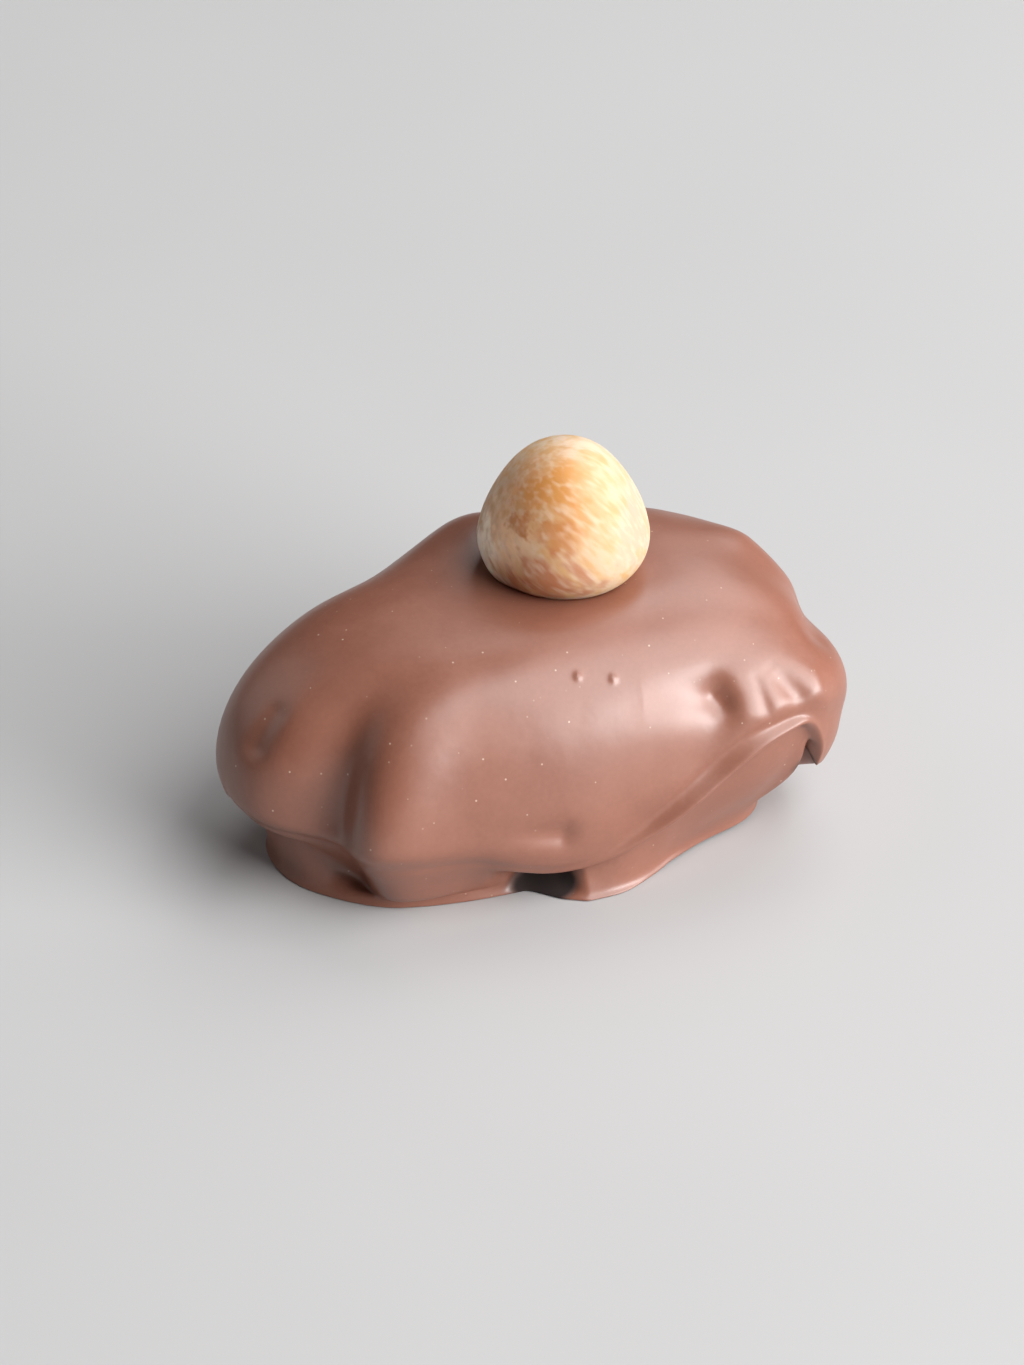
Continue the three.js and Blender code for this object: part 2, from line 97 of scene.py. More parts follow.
# Widest outline of the chocolate, and the outlines over it
SQUARENESS = 2.35
TAPER = 0.1
CORNERS = [
    dict(angle=math.radians(-30), spread=0.55, gain=1.2),
    dict(angle=math.radians(40), spread=0.5, gain=0.5),
    dict(angle=math.radians(145), spread=0.6, gain=-0.35),
]
WIDEST = dict(length=1.0, width=1.0, x=0.0, y=0.0, z=0.484, taper=TAPER)
BEAM_HEIGHT = up(WIDEST["z"])
BEAM_HEIGHT_FRONT = up(0.36)
BEAM_ABOVE_EDGE = 2.0
BEAM_BLEND = 0.9
LEAN = 0.14
SHOULDER = dict(length=0.95, width=0.915, x=0.027, y=0.05, z=0.725, taper=TAPER)
BROW = dict(length=0.736, width=0.7, x=0.073, y=0.09, z=0.94, taper=0.08)
CROWN = dict(length=0.459, width=0.5, x=0.16, y=0.14, z=1.0, taper=0.0)
DOME_RADII = [5.4, 2.7, 0.0]

# Seat of the kernel: its middle, the kernel's depth in it, the gap under it, and the search for its surface
SEAT = np.array([along(0.215), across(0.146), HEIGHT])
SEAT_DEPTH = 1.2
SEAT_GAP = 0.02
SEAT_PRESS = dict(first_level=-0.8, rounds=6, deepest=3.0)

# Lower edge of the coat
EDGE_FRONT = 2.2
EDGE_BACK = 3.6
EDGE_LEFT = 5.5
EDGE_LEFT_RISE = dict(height=1.9, start=along(-0.02), end=along(-0.43))
EDGE_RIGHT_RISE = dict(start=along(0.086), slope=0.6, ease=1.6, limit=7.9, turn=12)
EDGE_INSET = 0.8
EDGE_INSET_LEFT = 0.6
EDGE_LIP = 1.5
EDGE_LIP_SHARE = 0.55
EDGE_UNDER = 0.2
BEAD = dict(inset_share=0.9, height=0.45)
CHANNEL = dict(inset_share=0.65, height=0.9)
SKIRT = dict(inset_share=0.3, height=1.45)
BACK_WAVES = dict(count=5, height=0.4)

# Front side, left end and rounded underside of the left half
FRONT = dict(start=across(0.23), end=across(-0.46))
LEFT = dict(start=along(-0.64), end=along(-0.94))
BELLY = dict(start=along(-0.2), full=along(-0.36), fade=along(-0.81), end=along(-1.0))
BELLY_INSET = 0.3
BELLY_LIP = 0.2
BELLY_BOTTOM = 1.0

# Tongue at the squared end, with the undercut before it and the slit behind it
TONGUE = dict(
    start=math.radians(-36),
    full=math.radians(-28.8),
    fade=math.radians(40),
    end=math.radians(72),
)
TONGUE_TURN = 4
TONGUE_EDGE = 5.4
TONGUE_FALL = dict(height=2.3, start=TONGUE["full"], end=math.radians(-18.5))
TONGUE_INSET = 0.4
TONGUE_LIP_SHARE = 0.1
TONGUE_BEAD_HEIGHT = 1.0
TONGUE_CHANNEL_HEIGHT = 2.6
TONGUE_SKIRT = dict(start=TONGUE["start"], end=math.radians(0))
SKIRT_DROP = dict(start=TONGUE["start"], end=math.radians(-14))
UNDERCUT = dict(start=math.radians(-38), end=math.radians(-31), inset=0.95, top=9.0, deepest=1.5)
SLIT = dict(
    start=math.radians(-30.5),
    full=math.radians(-29.2),
    fade=math.radians(-24),
    end=math.radians(-19.5),
)
SLIT_TOP = 9.5
SLIT_WALL = 2.6

# Sloping fold along the right half of the lower edge, with its channel
FOLD = dict(start=along(-0.1), end=along(0.35), inset=-0.8, lip=-0.5)
FOLD_NARROW = dict(start=along(0.55), end=along(0.75), share=0.55)
FOLD_CHANNEL = dict(bead=-0.12, channel=0.5, skirt=0.75, beam=0.4)
FOLD_CHANNEL_FADE = dict(start=math.radians(-36), end=math.radians(-28))

# Foot: its outline lies inside the widest one
FOOT_INSET = 2.8
FOOT_INSET_LEFT = 0.9
FOOT_RIGHT = dict(start=along(0.08), end=along(0.78), inset=4.4)
FOOT_INNER = dict(start=along(-0.2), end=along(0.0), inset=-2.2)
FOOT_BEAD = dict(out=0.1, height=0.12)
FOOT_TOP = dict(inset=0.2, height=0.8)
FOOT_LIFT = dict(height=0.3, under_share=0.3, start=along(0.273), end=along(0.41))
FILM = dict(start=along(-0.03), full=along(0.025), fade=along(0.12), end=along(0.3), out=0.4, lip=-0.7)
FILM_TOP = dict(out_share=0.45, height=0.28)
WALL_BULGE = dict(out=2.1, foot_out=0.4, foot_height=0.6, start=along(0.38), end=along(0.75))
WALL_BULGE_FADE = dict(start=math.radians(-27), end=math.radians(-20))
RECESS = dict(start=along(-0.28), full=along(-0.18), fade=along(-0.06), end=along(0.03), depth=1.2)
UNDERSIDE_SHARES = (0.4, 0.8, 0.95)

# Upright ridge at the front left corner, the valley beside it and the nose over the tongue
UPRIGHTS = [
    dict(angle=math.radians(-141), spread=0.17, out=1.3),
    dict(angle=math.radians(-157), spread=0.15, out=-2.4),
    dict(angle=math.radians(-21), spread=0.25, out=1.4),
]
UPRIGHT_AT_EDGE = 0.8
UPRIGHT_AT_BEAM = 1.3
UPRIGHT_LIFT = 0.3

# Dents and bumps of the coat, at shares of its half length, half width and height
RELIEF = [
    spot((-0.845, -0.43, 0.63), 3.6, 0.3),  # bulge of the left end
    run((-0.839, -0.12, 0.764), (-0.909, -0.148, 0.657), (0.9, 1.0), (-0.25, -0.35)),  # left crease
    run((-0.25, -0.94, 0.385), (-0.07, -0.972, 0.335), (0.85, 1.0), (-0.05, -0.45)),  # dimple
    run((0.25, -0.79, 0.785), (0.477, -0.825, 0.76), (1.8, 1.5), (-0.05, -0.45)),  # groove
    run((0.495, -0.845, 0.735), (0.51, -0.875, 0.71), (0.9, 0.9), (-0.2, -0.25)),  # pit at its end
    run((0.49, -0.89, 0.69), (0.44, -0.985, 0.53), (2.0, 2.2), (-0.4, -0.3)),  # hollow below the pit
    run((0.56, -0.809, 0.771), (0.567, -0.92, 0.67), (0.8, 0.9), (0.08, 0.15)),  # ridge beside the pit
    run((0.635, -0.818, 0.761), (0.647, -0.958, 0.652), (0.45, 0.5), (-0.05, -0.16)),  # thin crease
    run((0.7, -0.79, 0.765), (0.762, -0.92, 0.686), (0.85, 0.9), (-0.12, -0.38)),  # second pit
    run((0.64, -0.74, 0.81), (0.84, -0.8, 0.72), (1.3, 1.3), (0.1, 0.22)),  # brow over it
    run((0.66, -0.985, 0.62), (0.83, -0.9, 0.6), (1.1, 1.2), (0.05, 0.12)),  # ridge under it
    run((0.98, -0.23, 0.736), (0.945, -0.54, 0.77), (1.8, 1.8), (-0.55, -0.55)),  # notch over the nose
    spot((0.05, 0.8, 0.88), 3.7, 1.3),  # hump behind the kernel
    spot((-0.35, 0.69, 0.87), 3.6, -0.5),  # hollow at the back left
    run((0.5, 0.6, 0.93), (0.68, 0.52, 0.93), (3.0, 3.0), (-0.35, -0.35)),  # hollow at the back right
    run((0.864, 0.154, 0.9), (0.95, -0.03, 0.78), (2.6, 2.2), (0.8, 0.6)),  # shoulder of the squared end
    spot((0.059, -0.655, 0.887), 0.3, 0.14),  # pimple on the front shoulder
    spot((0.169, -0.697, 0.862), 0.3, 0.14),  # pimple beside it
]
RELIEF_FLOOR = dict(start=0.5, end=1.5)

# Kernel: widest low down, with a narrower crown, three weak lobes, flats and one fuller place
KERNEL_LOW = KERNEL_HEIGHT * 0.36
KERNEL_HIGH = KERNEL_HEIGHT - KERNEL_LOW
KERNEL_FULLNESS = 0.84
KERNEL_CROWN = dict(narrowing=0.19, start=-0.1, end=1.0)
KERNEL_LOBES = dict(count=3, share=0.015, turn=math.radians(20))
KERNEL_FLATS = [
    dict(angle=math.radians(-28), level=0.45, spread=0.5, share=-0.07),
    dict(angle=math.radians(-113), level=-0.6, spread=0.6, share=-0.055),
    dict(angle=math.radians(178), level=-0.85, spread=0.35, share=0.11),
    dict(angle=math.radians(150), level=0.3, spread=0.6, share=-0.05),
    dict(angle=math.radians(-165), level=-0.25, spread=0.4, share=-0.04),
    dict(angle=math.radians(-80), level=0.45, spread=0.5, share=-0.03),
]

# Span of the values that noise mostly gives
NOISE_SPAN = (0.3, 0.7)

# Surface of the chocolate: linear colours, sizes and depths in millimetres
CHOCOLATE_DARK = (0.225, 0.084, 0.053, 1)
CHOCOLATE_LIGHT = (0.27, 0.106, 0.068, 1)
CHOCOLATE_CLOUD = dict(size=5.0, detail=4.0)
CHOCOLATE_CLOUD_SHARE = 0.7
CHOCOLATE_GRAIN = dict(size=0.35, detail=2.0)
CHOCOLATE_GRAIN_DEPTH = 0.003
CHOCOLATE_RIPPLE = dict(size=2.2, detail=2.0)
CHOCOLATE_RIPPLE_DEPTH = 0.025
CHOCOLATE_ROUGHNESS = (0.34, 0.4)
CHOCOLATE_IOR = 1.68
SPECK_COLOUR = (0.5, 0.34, 0.26, 1)
SPECK_SPACING = 0.85
SPECK_EDGE = (0.05, 0.11)
SPECK_PICK = (0.45, 0.8)

# Painted shade deep in the slit behind the tongue and in the recess under the front edge: middle and half
# sizes of these deep parts, the near-black colour painted there, and the span over which it fades in
SHADED_HOLLOWS = [
    dict(middle=(along(0.814), across(-0.731), up(0.308)), half_size=(1.9, 1.9, 1.9)),
    dict(middle=(along(-0.082), across(-0.8), up(0.038)), half_size=(3.4, 2.3, 1.7)),
]
PAINTED_SHADE_COLOUR = (0.012, 0.003, 0.002, 1)
PAINTED_SHADE_FADE = (1.0, 0.65)

# Surface of the kernel: linear colours, sizes and depths in millimetres
CREAM = (0.54, 0.325, 0.155, 1)
IVORY = (0.55, 0.405, 0.275, 1)
GOLD = (0.53, 0.255, 0.065, 1)
AMBER = (0.46, 0.19, 0.055, 1)
# Red-brown low on the kernel: partly its own colour, partly painted shade near the chocolate
RED_BROWN_AND_SHADE = (0.4, 0.135, 0.055, 1)
BLOOM = (0.62, 0.48, 0.36, 1)
SHELL = (0.43, 0.335, 0.25, 1)
# Painted light: pale colour that lightens the kernel's left side
PAINTED_LIGHT_PALE = (0.86, 0.66, 0.45, 1)
# Chalky skin, made paler and wider as painted light on the kernel's left
CHALK_AND_PAINTED_LIGHT = (0.95, 0.86, 0.74, 1)
KERNEL_SLANT = dict(stretch=(3.5, 1, 1), turn=(0, math.radians(45), math.radians(-23)))
KERNEL_STREAKS = dict(size=0.9, detail=2.5)
KERNEL_STREAK_SPAN = (0.38, 0.62)
KERNEL_STREAK_DEPTH = 0.05
KERNEL_VEINS = dict(size=0.5, detail=1.0)
KERNEL_VEIN_SPAN = (0.42, 0.78)
KERNEL_VEIN_STRENGTH = 0.6
KERNEL_CLOUD = dict(size=1.8, detail=1.5)
KERNEL_GRAIN = dict(size=0.35, detail=2.0)
KERNEL_GRAIN_DEPTH = 0.012
KERNEL_ROUGHNESS = (0.5, 0.62)
KERNEL_IOR = 1.45
KERNEL_SUBSURFACE = dict(weight=0.9, radius=(1.0, 0.7, 0.45), scale=9.0)

# Patches of the kernel, in the order they are laid: offset from its widest middle, radius before fraying
PATCHES = [
    dict(offset=(-2.9, -2.3, 5.5), radius=3.2, colour=GOLD, strength=0.9),
    dict(offset=(-1.0, -2.6, 6.0), radius=2.6, colour=GOLD, strength=0.75),
    dict(offset=(-0.6, -4.6, 4.0), radius=2.0, colour=GOLD, strength=0.8),
    # Painted light: pale patch that lightens the kernel's left side, where the lamps leave it dim
    dict(offset=(-5.4, -1.4, 1.2), radius=4.2, colour=PAINTED_LIGHT_PALE, strength=0.8),
    dict(offset=(-4.5, -2.1, 3.3), radius=1.4, colour=AMBER, strength=0.85),
    dict(offset=(-2.6, -4.6, 2.9), radius=2.0, colour=AMBER, strength=0.75),
    # Red-brown low at the front: partly the kernel's colour, partly painted shade where it meets the
    # chocolate
    dict(offset=(-3.8, -4.7, -0.4), radius=3.0, colour=RED_BROWN_AND_SHADE, strength=0.75),
    dict(offset=(-4.8, -2.6, -1.7), radius=2.4, colour=RED_BROWN_AND_SHADE, strength=0.8),
    dict(offset=(-1.7, -5.8, -0.5), radius=2.3, colour=RED_BROWN_AND_SHADE, strength=0.6),
    dict(offset=(0.4, 0.4, 7.0), radius=2.4, colour=BLOOM, strength=0.9),
    # Chalky skin at the left edge, partly painted light that brightens the left side
    dict(offset=(-6.0, 0.4, -0.2), radius=3.0, colour=CHALK_AND_PAINTED_LIGHT, strength=0.9),
    dict(offset=(4.4, -3.6, 1.6), radius=4.4, colour=SHELL, strength=0.85),
]
PATCH_CORE = 0.2
PATCH_FRAY = dict(streaks=6.0, cloud=3.0)

# Floor: half its side and the size of its clouding in millimetres, and its linear colours
FLOOR_HALF_SIDE = 3000.0
FLOOR_CLOUD = dict(size=40.0, detail=2.0)
FLOOR_DARK = (0.46, 0.455, 0.455, 1)
FLOOR_LIGHT = (0.49, 0.485, 0.485, 1)
FLOOR_ROUGHNESS = 0.85

# Soft lights, as the camera sees them: metres to the right, away and up, width and height, and watts
LIGHTS = [
    dict(name="high_window", right=0.42, away=-0.21, height=0.54, size=(0.7, 0.65), power=6.3),
    dict(name="low_window", right=0.56, away=-0.29, height=0.19, size=(0.5, 0.26), power=5.2),
    dict(name="back_wall", right=0.2, away=0.36, height=0.47, size=(0.4, 0.4), power=1.7),
    dict(name="left_wall", right=-0.55, away=0.22, height=0.36, size=(0.5, 0.5), power=0.6),
]
ROOM_COLOUR = (1, 1, 1, 1)
ROOM_STRENGTH = 0.03


def bell(distance, width):
    return np.exp(-((distance / width) ** 2))


def mix(first, second, share):
    return first + (second - first) * share


def ramp(value, start, end):
    """0 before start and 1 after end, whichever way they lie."""
    share = np.clip((value - start) / (end - start), 0, 1)
    return share * share * (3 - 2 * share)


def rise(value, limits):
    """0 before the start of the limits and 1 after their end."""
    return ramp(value, limits["start"], limits["end"])


def window(value, limits):
    """1 from full to fade, and 0 before the start and after the end."""
    return ramp(value, limits["start"], limits["full"]) * ramp(value, limits["end"], limits["fade"])


def soft_rise(value, ease):
    """0 well below zero and the value itself well above it, with an eased turn between them."""
    return ease * np.log1p(np.exp(value / ease))


def turn_between(first, second):
    """Smallest turn between two angles."""
    return np.arctan2(np.sin(first - second), np.cos(first - second))


def crowded_angles():
    """Angles round the chocolate, closer together towards the tongue, from low to high."""
    turn = np.arange(ANGLES) / ANGLES * 2 * math.pi
    angle = turn - CROWDING * np.sin(turn - TONGUE["full"])
    return np.sort(turn_between(angle, 0))


def outline(angle, length, width, x, y, z, taper):
    """Points of a rounded oblong, seen from its centre at each angle."""
    squareness = SQUARENESS + sum(
        corner["gain"] * bell(turn_between(angle, corner["angle"]), corner["spread"]) for corner in CORNERS
    )
    long_side = np.abs(np.cos(angle) / along(length)) ** squareness
    short_side = np.abs(np.sin(angle) / across(width)) ** squareness
    reach = (long_side + short_side) ** (-1 / squareness)
    right = reach * np.cos(angle)
    back = reach * np.sin(angle) * (1 + taper * right / along(1))
    return np.array([along(x) + right, across(y) + back, np.full_like(angle, up(z))])


def coat_features(angle, beam):
    """How far each feature of the coat and the foot counts at each angle."""
    front = rise(beam[1], FRONT)
    tongue_run = np.clip((angle - TONGUE["start"]) / (TONGUE["full"] - TONGUE["start"]), 0, 1)
    tongue_end = ramp(angle, TONGUE["end"], TONGUE["fade"])
    tongue = tongue_run**TONGUE_TURN * tongue_end
    fold = front * rise(beam[0], FOLD) * (1 - tongue)
    return dict(
        front=front,
        tongue=tongue,
        slit=window(angle, SLIT),
        skirt_drop=rise(angle, SKIRT_DROP) * tongue_end,
        undercut=front * rise(angle, UNDERCUT),
        left=rise(beam[0], LEFT),
        belly=front * window(beam[0], BELLY),
        fold=fold,
        channel=fold * (1 - rise(angle, FOLD_CHANNEL_FADE)),
        narrow=front * rise(beam[0], FOLD_NARROW),
        recess=front * window(beam[0], RECESS),
        film=front * window(beam[0], FILM),
        bulge=front * rise(beam[0], WALL_BULGE) * (1 - rise(angle, WALL_BULGE_FADE)),
        upright=sum(
            press["out"] * bell(turn_between(angle, press["angle"]), press["spread"]) for press in UPRIGHTS
        ),
    )


def edge_heights(angle, beam, share):
    """Heights of the coat's lower edge, and of the same edge as the skirt over it follows it."""
    left_rise = EDGE_LEFT_RISE["height"] * rise(beam[0], EDGE_LEFT_RISE)
    climb = EDGE_RIGHT_RISE["slope"] * soft_rise(beam[0] - EDGE_RIGHT_RISE["start"], EDGE_RIGHT_RISE["ease"])
    turn = EDGE_RIGHT_RISE["turn"]
    right_rise = climb / (1 + (climb / EDGE_RIGHT_RISE["limit"]) ** turn) ** (1 / turn)
    back = EDGE_BACK + BACK_WAVES["height"] * np.sin(BACK_WAVES["count"] * angle)
    side = mix(back, EDGE_FRONT + left_rise + right_rise, share["front"])
    tongue_edge = TONGUE_EDGE - TONGUE_FALL["height"] * rise(angle, TONGUE_FALL)
    skirt_edge = mix(side, TONGUE_EDGE, rise(angle, TONGUE_SKIRT))
    lift = UPRIGHT_LIFT * share["upright"] * (1 - share["tongue"])

    def height_with(tongue_height):
        return mix(mix(side, tongue_height, share["tongue"]), EDGE_LEFT, share["left"]) + lift

    return height_with(tongue_edge), height_with(skirt_edge)


def foot_points(beam, share, inside):
    """Control points of the foot, from the middle of the underside to the foot's top."""
    reach = np.hypot(beam[0], beam[1])
    foot_inset = (
        FOOT_INSET
        + FOOT_INSET_LEFT * share["left"]
        + FOOT_INNER["inset"] * share["front"] * rise(beam[0], FOOT_INNER)
        + FOOT_RIGHT["inset"] * share["front"] * rise(beam[0], FOOT_RIGHT)
    )
    lift = FOOT_LIFT["height"] * share["front"] * rise(beam[0], FOOT_LIFT)
    film_out = FILM["out"] * share["film"]
    top_out = (
        FOOT_TOP["inset"] * (share["film"] - 1)
        + WALL_BULGE["foot_out"] * share["bulge"]
        - RECESS["depth"] * share["recess"]
    )

    def under(part, z):
        return inside(reach - part * (reach - foot_inset), z)

    def foot(out, z):
        return inside(foot_inset - out, z + lift)

    return [
        np.zeros_like(beam),
        under(UNDERSIDE_SHARES[0], 0.0),
        under(UNDERSIDE_SHARES[1], FOOT_LIFT["under_share"] * lift),
        under(UNDERSIDE_SHARES[2], lift),
        foot(film_out, 0.0),
        foot(FOOT_BEAD["out"] + film_out, FOOT_BEAD["height"]),
        foot(FILM_TOP["out_share"] * film_out, FILM_TOP["height"]),
        foot(top_out, FOOT_TOP["height"] + WALL_BULGE["foot_height"] * share["bulge"]),
    ]


def coat_points(angle, beam, share, inside):
    """Control points of the coat, from its neck under the edge to its widest height."""
    edge, outer_edge = edge_heights(angle, beam, share)
    edge_inset = (
        EDGE_INSET
        + EDGE_INSET_LEFT * share["left"]
        + TONGUE_INSET * share["tongue"]
        + BELLY_INSET * share["belly"]
        + FOLD["inset"] * share["fold"]
    )
    lip = (
        EDGE_LIP
        + FOLD["lip"] * share["fold"]
        + FILM["lip"] * share["film"]
        + BELLY_LIP * share["belly"]
        + RECESS["depth"] * share["recess"]
    )
    beam_level = mix(BEAM_HEIGHT, BEAM_HEIGHT_FRONT, share["front"])
    beam_height = beam_level + soft_rise(outer_edge + BEAM_ABOVE_EDGE - beam_level, BEAM_BLEND)

    def lean(z):
        return LEAN * np.maximum(z - beam_level, 0)

    def coat(inset, z):
        return inside(inset + lean(z) - UPRIGHT_AT_EDGE * share["upright"], z)

    def undercut(inset, z):
        drop = np.clip((UNDERCUT["top"] - z) / (UNDERCUT["top"] - TONGUE_EDGE), 0, UNDERCUT["deepest"])
        return mix(inset, UNDERCUT["inset"] * drop**2, share["undercut"])

    underside = edge - EDGE_UNDER
    neck_height = mix(mix(underside, SLIT_TOP, share["slit"]), BELLY_BOTTOM, share["belly"])
    lip_height = mix(underside, (edge + BELLY_BOTTOM) / 2, share["belly"])
    lip_share = mix(EDGE_LIP_SHARE, TONGUE_LIP_SHARE, share["tongue"])
    narrow = mix(1, FOLD_NARROW["share"], share["narrow"])
    bead_height = edge + mix(narrow * BEAD["height"], TONGUE_BEAD_HEIGHT, share["tongue"])
    channel_height = edge + mix(narrow * CHANNEL["height"], TONGUE_CHANNEL_HEIGHT, share["tongue"])
    skirt_middle = (channel_height + beam_height) / 2
    skirt_height = mix(outer_edge + narrow * SKIRT["height"], skirt_middle, share["skirt_drop"])

    rim_inset = undercut(edge_inset, edge)
    bead_inset = undercut(BEAD["inset_share"] * edge_inset, bead_height)
    channel_inset = undercut(CHANNEL["inset_share"] * edge_inset, channel_height)
    skirt_inset = SKIRT["inset_share"] * edge_inset * (1 - share["undercut"])
    beam_inset = lean(beam_height) - UPRIGHT_AT_BEAM * share["upright"]
    return [
        coat(rim_inset + lip, neck_height),
        coat(rim_inset + lip_share * lip, lip_height),
        coat(rim_inset, edge),
        coat(bead_inset + FOLD_CHANNEL["bead"] * share["channel"], bead_height),
        coat(channel_inset + FOLD_CHANNEL["channel"] * share["channel"], channel_height),
        coat(skirt_inset + FOLD_CHANNEL["skirt"] * share["channel"], skirt_height),
        inside(beam_inset + FOLD_CHANNEL["beam"] * share["channel"], beam_height),
    ]


def chocolate_profile(angle):
    """Control points of the profile at each angle, from the underside's middle to the seat's."""
    beam = outline(angle, **WIDEST)
    share = coat_features(angle, beam)
    reach = np.hypot(beam[0], beam[1])

    def inside(inset, z):
        scale = 1 - inset / reach
        return np.array([beam[0] * scale, beam[1] * scale, z + np.zeros_like(angle)])

    def dome(radius):
        circle = [SEAT[0] + radius * np.cos(angle), SEAT[1] + radius * np.sin(angle)]
        return np.array([*circle, np.full_like(angle, SEAT[2])])

    foot = foot_points(beam, share, inside)
    coat = coat_points(angle, beam, share, inside)
    wall = (foot[-1] + coat[0]) / 2
    wall[:2] *= 1 + mix(WALL_BULGE["out"] * share["bulge"], SLIT_WALL, share["slit"]) / reach
    shoulder = outline(angle, **SHOULDER)
    shoulder[:2] *= 1 + share["upright"] / reach
    brow = outline(angle, **BROW)
    crown = outline(angle, **CROWN)
    domes = [dome(radius) for radius in DOME_RADII]
    return np.array([*foot, wall, *coat, shoulder, brow, crown, *domes])


def spline_rows(profile):
    """Rows of points along the uniform cubic B-spline of the profiles: rows, angles, xyz."""
    control = np.concatenate([profile[:1]] * 2 + [profile] + [profile[-1:]] * 2)
    rows = []
    for span, count in enumerate(PROFILE_ROWS):
        for t in np.arange(count) / count:
            weights = [(1 - t) ** 3, 3 * t**3 - 6 * t**2 + 4, 1 + 3 * t + 3 * t**2 - 3 * t**3, t**3]
            rows.append(np.tensordot(np.array(weights) / 6, control[span : span + 4], 1))
    rows.append(profile[-1])
    return np.array(rows).transpose(0, 2, 1)


def grid_normals(grid):
    """Outward unit normals of a grid whose rows run upwards and whose columns run anticlockwise."""
    round_step = np.roll(grid, -1, 1) - np.roll(grid, 1, 1)
    up_step = np.gradient(grid, axis=0)
    normal = np.cross(round_step, up_step)
    return normal / np.maximum(np.linalg.norm(normal, axis=2, keepdims=True), TINY)


def relief_height(grid):
    """Height of the coat's dents and bumps at each point of the grid, fading out above the foot."""
    size = np.array([along(1), across(1), up(1)])
    height = np.zeros(grid.shape[:2])
    for form in RELIEF:
        start = np.array(form["start"]) * size
        line = np.array(form["end"]) * size - start
        t = np.clip((grid - start) @ line / max(line @ line, TINY), 0, 1)
        distance = np.linalg.norm(grid - start - t[..., None] * line, axis=2)
        height += mix(*form["heights"], t) * bell(distance, mix(*form["widths"], t))
    return height * rise(grid[..., 2], RELIEF_FLOOR)


def kernel_share(level, angle):
    """Lobes and flats of the kernel, as a share of its half width."""
    share = 1 + KERNEL_LOBES["share"] * np.cos(KERNEL_LOBES["count"] * (angle - KERNEL_LOBES["turn"]))
    for flat in KERNEL_FLATS:
        turn = turn_between(angle, flat["angle"])
        share = share + flat["share"] * bell(np.hypot(turn, level - flat["level"]), flat["spread"])
    return share


def kernel_grid():
    """Kernel from its foot to its tip: rows, angles, xyz."""
    angle = np.arange(KERNEL_ANGLES)[None, :] / KERNEL_ANGLES * 2 * math.pi
    level = -np.cos(np.linspace(0, math.pi, KERNEL_ROWS))[:, None]
    crown = 1 - KERNEL_CROWN["narrowing"] * rise(level, KERNEL_CROWN)
    round_share = np.sqrt(np.clip(1 - level**2, 0, 1)) ** KERNEL_FULLNESS
    reach = KERNEL_WIDTH / 2 * round_share * crown * kernel_share(level, angle)
    height = np.where(level < 0, level * KERNEL_LOW, level * KERNEL_HIGH) + 0 * angle
    middle = SEAT[2] - SEAT_DEPTH + KERNEL_LOW
    right = SEAT[0] + reach * np.cos(angle)
    back = SEAT[1] + reach * np.sin(angle)
    return np.stack([right, back, middle + height], axis=2)


def press_seat(grid):
    """Presses the crown down to the kernel's underside wherever it would reach into the kernel."""
    out = grid[..., :2] - SEAT[:2]
    angle = np.arctan2(out[..., 1], out[..., 0])
    reach = np.hypot(out[..., 0], out[..., 1])
    level = np.full_like(reach, SEAT_PRESS["first_level"])
    for _ in range(SEAT_PRESS["rounds"]):
        width = KERNEL_WIDTH / 2 * kernel_share(level, angle)
        round_share = np.clip(reach / width, 0, 1) ** (2 / KERNEL_FULLNESS)
        level = -np.sqrt(1 - round_share)
    under = SEAT[2] - SEAT_DEPTH + KERNEL_LOW * (1 + level) - SEAT_GAP
    lowest = np.maximum(under, SEAT[2] - SEAT_PRESS["deepest"])
    covered = reach < KERNEL_WIDTH / 2
    pressed = grid.copy()
    pressed[..., 2] = np.where(covered, np.minimum(grid[..., 2], lowest), grid[..., 2])
    return pressed


def coat_grid():
    """Chocolate from the middle of its underside to the middle of the seat: rows, angles, xyz."""
    smooth = spline_rows(chocolate_profile(crowded_angles()))
    return press_seat(smooth + grid_normals(smooth) * relief_height(smooth)[..., None])


def mesh_piece(name, grid, place, material):
    """Closed smooth mesh over a grid in millimetres, whose first and last rows are its poles."""
    rows, columns = grid.shape[:2]
    points = np.concatenate([grid[:1, 0], grid[1:-1].reshape(-1, 3), grid[-1:, 0]])
    points = (points + place) * MM
    ring = 1 + np.arange((rows - 2) * columns).reshape(rows - 2, columns)
    after = np.roll(ring, -1, 1)
    quads = np.stack([ring[:-1], after[:-1], after[1:], ring[1:]], axis=2).reshape(-1, 4)
    last = len(points) - 1
    bottom = [(0, b, a) for a, b in zip(ring[0].tolist(), after[0].tolist())]
    top = [(last, a, b) for a, b in zip(ring[-1].tolist(), after[-1].tolist())]
    mesh = bpy.data.meshes.new(name)
    mesh.from_pydata(points.tolist(), [], bottom + quads.tolist() + top)
    mesh.polygons.foreach_set("use_smooth", np.ones(len(mesh.polygons), dtype=bool))
    mesh.materials.append(material)
    piece = bpy.data.objects.new(name, mesh)
    bpy.context.collection.objects.link(piece)
    return piece


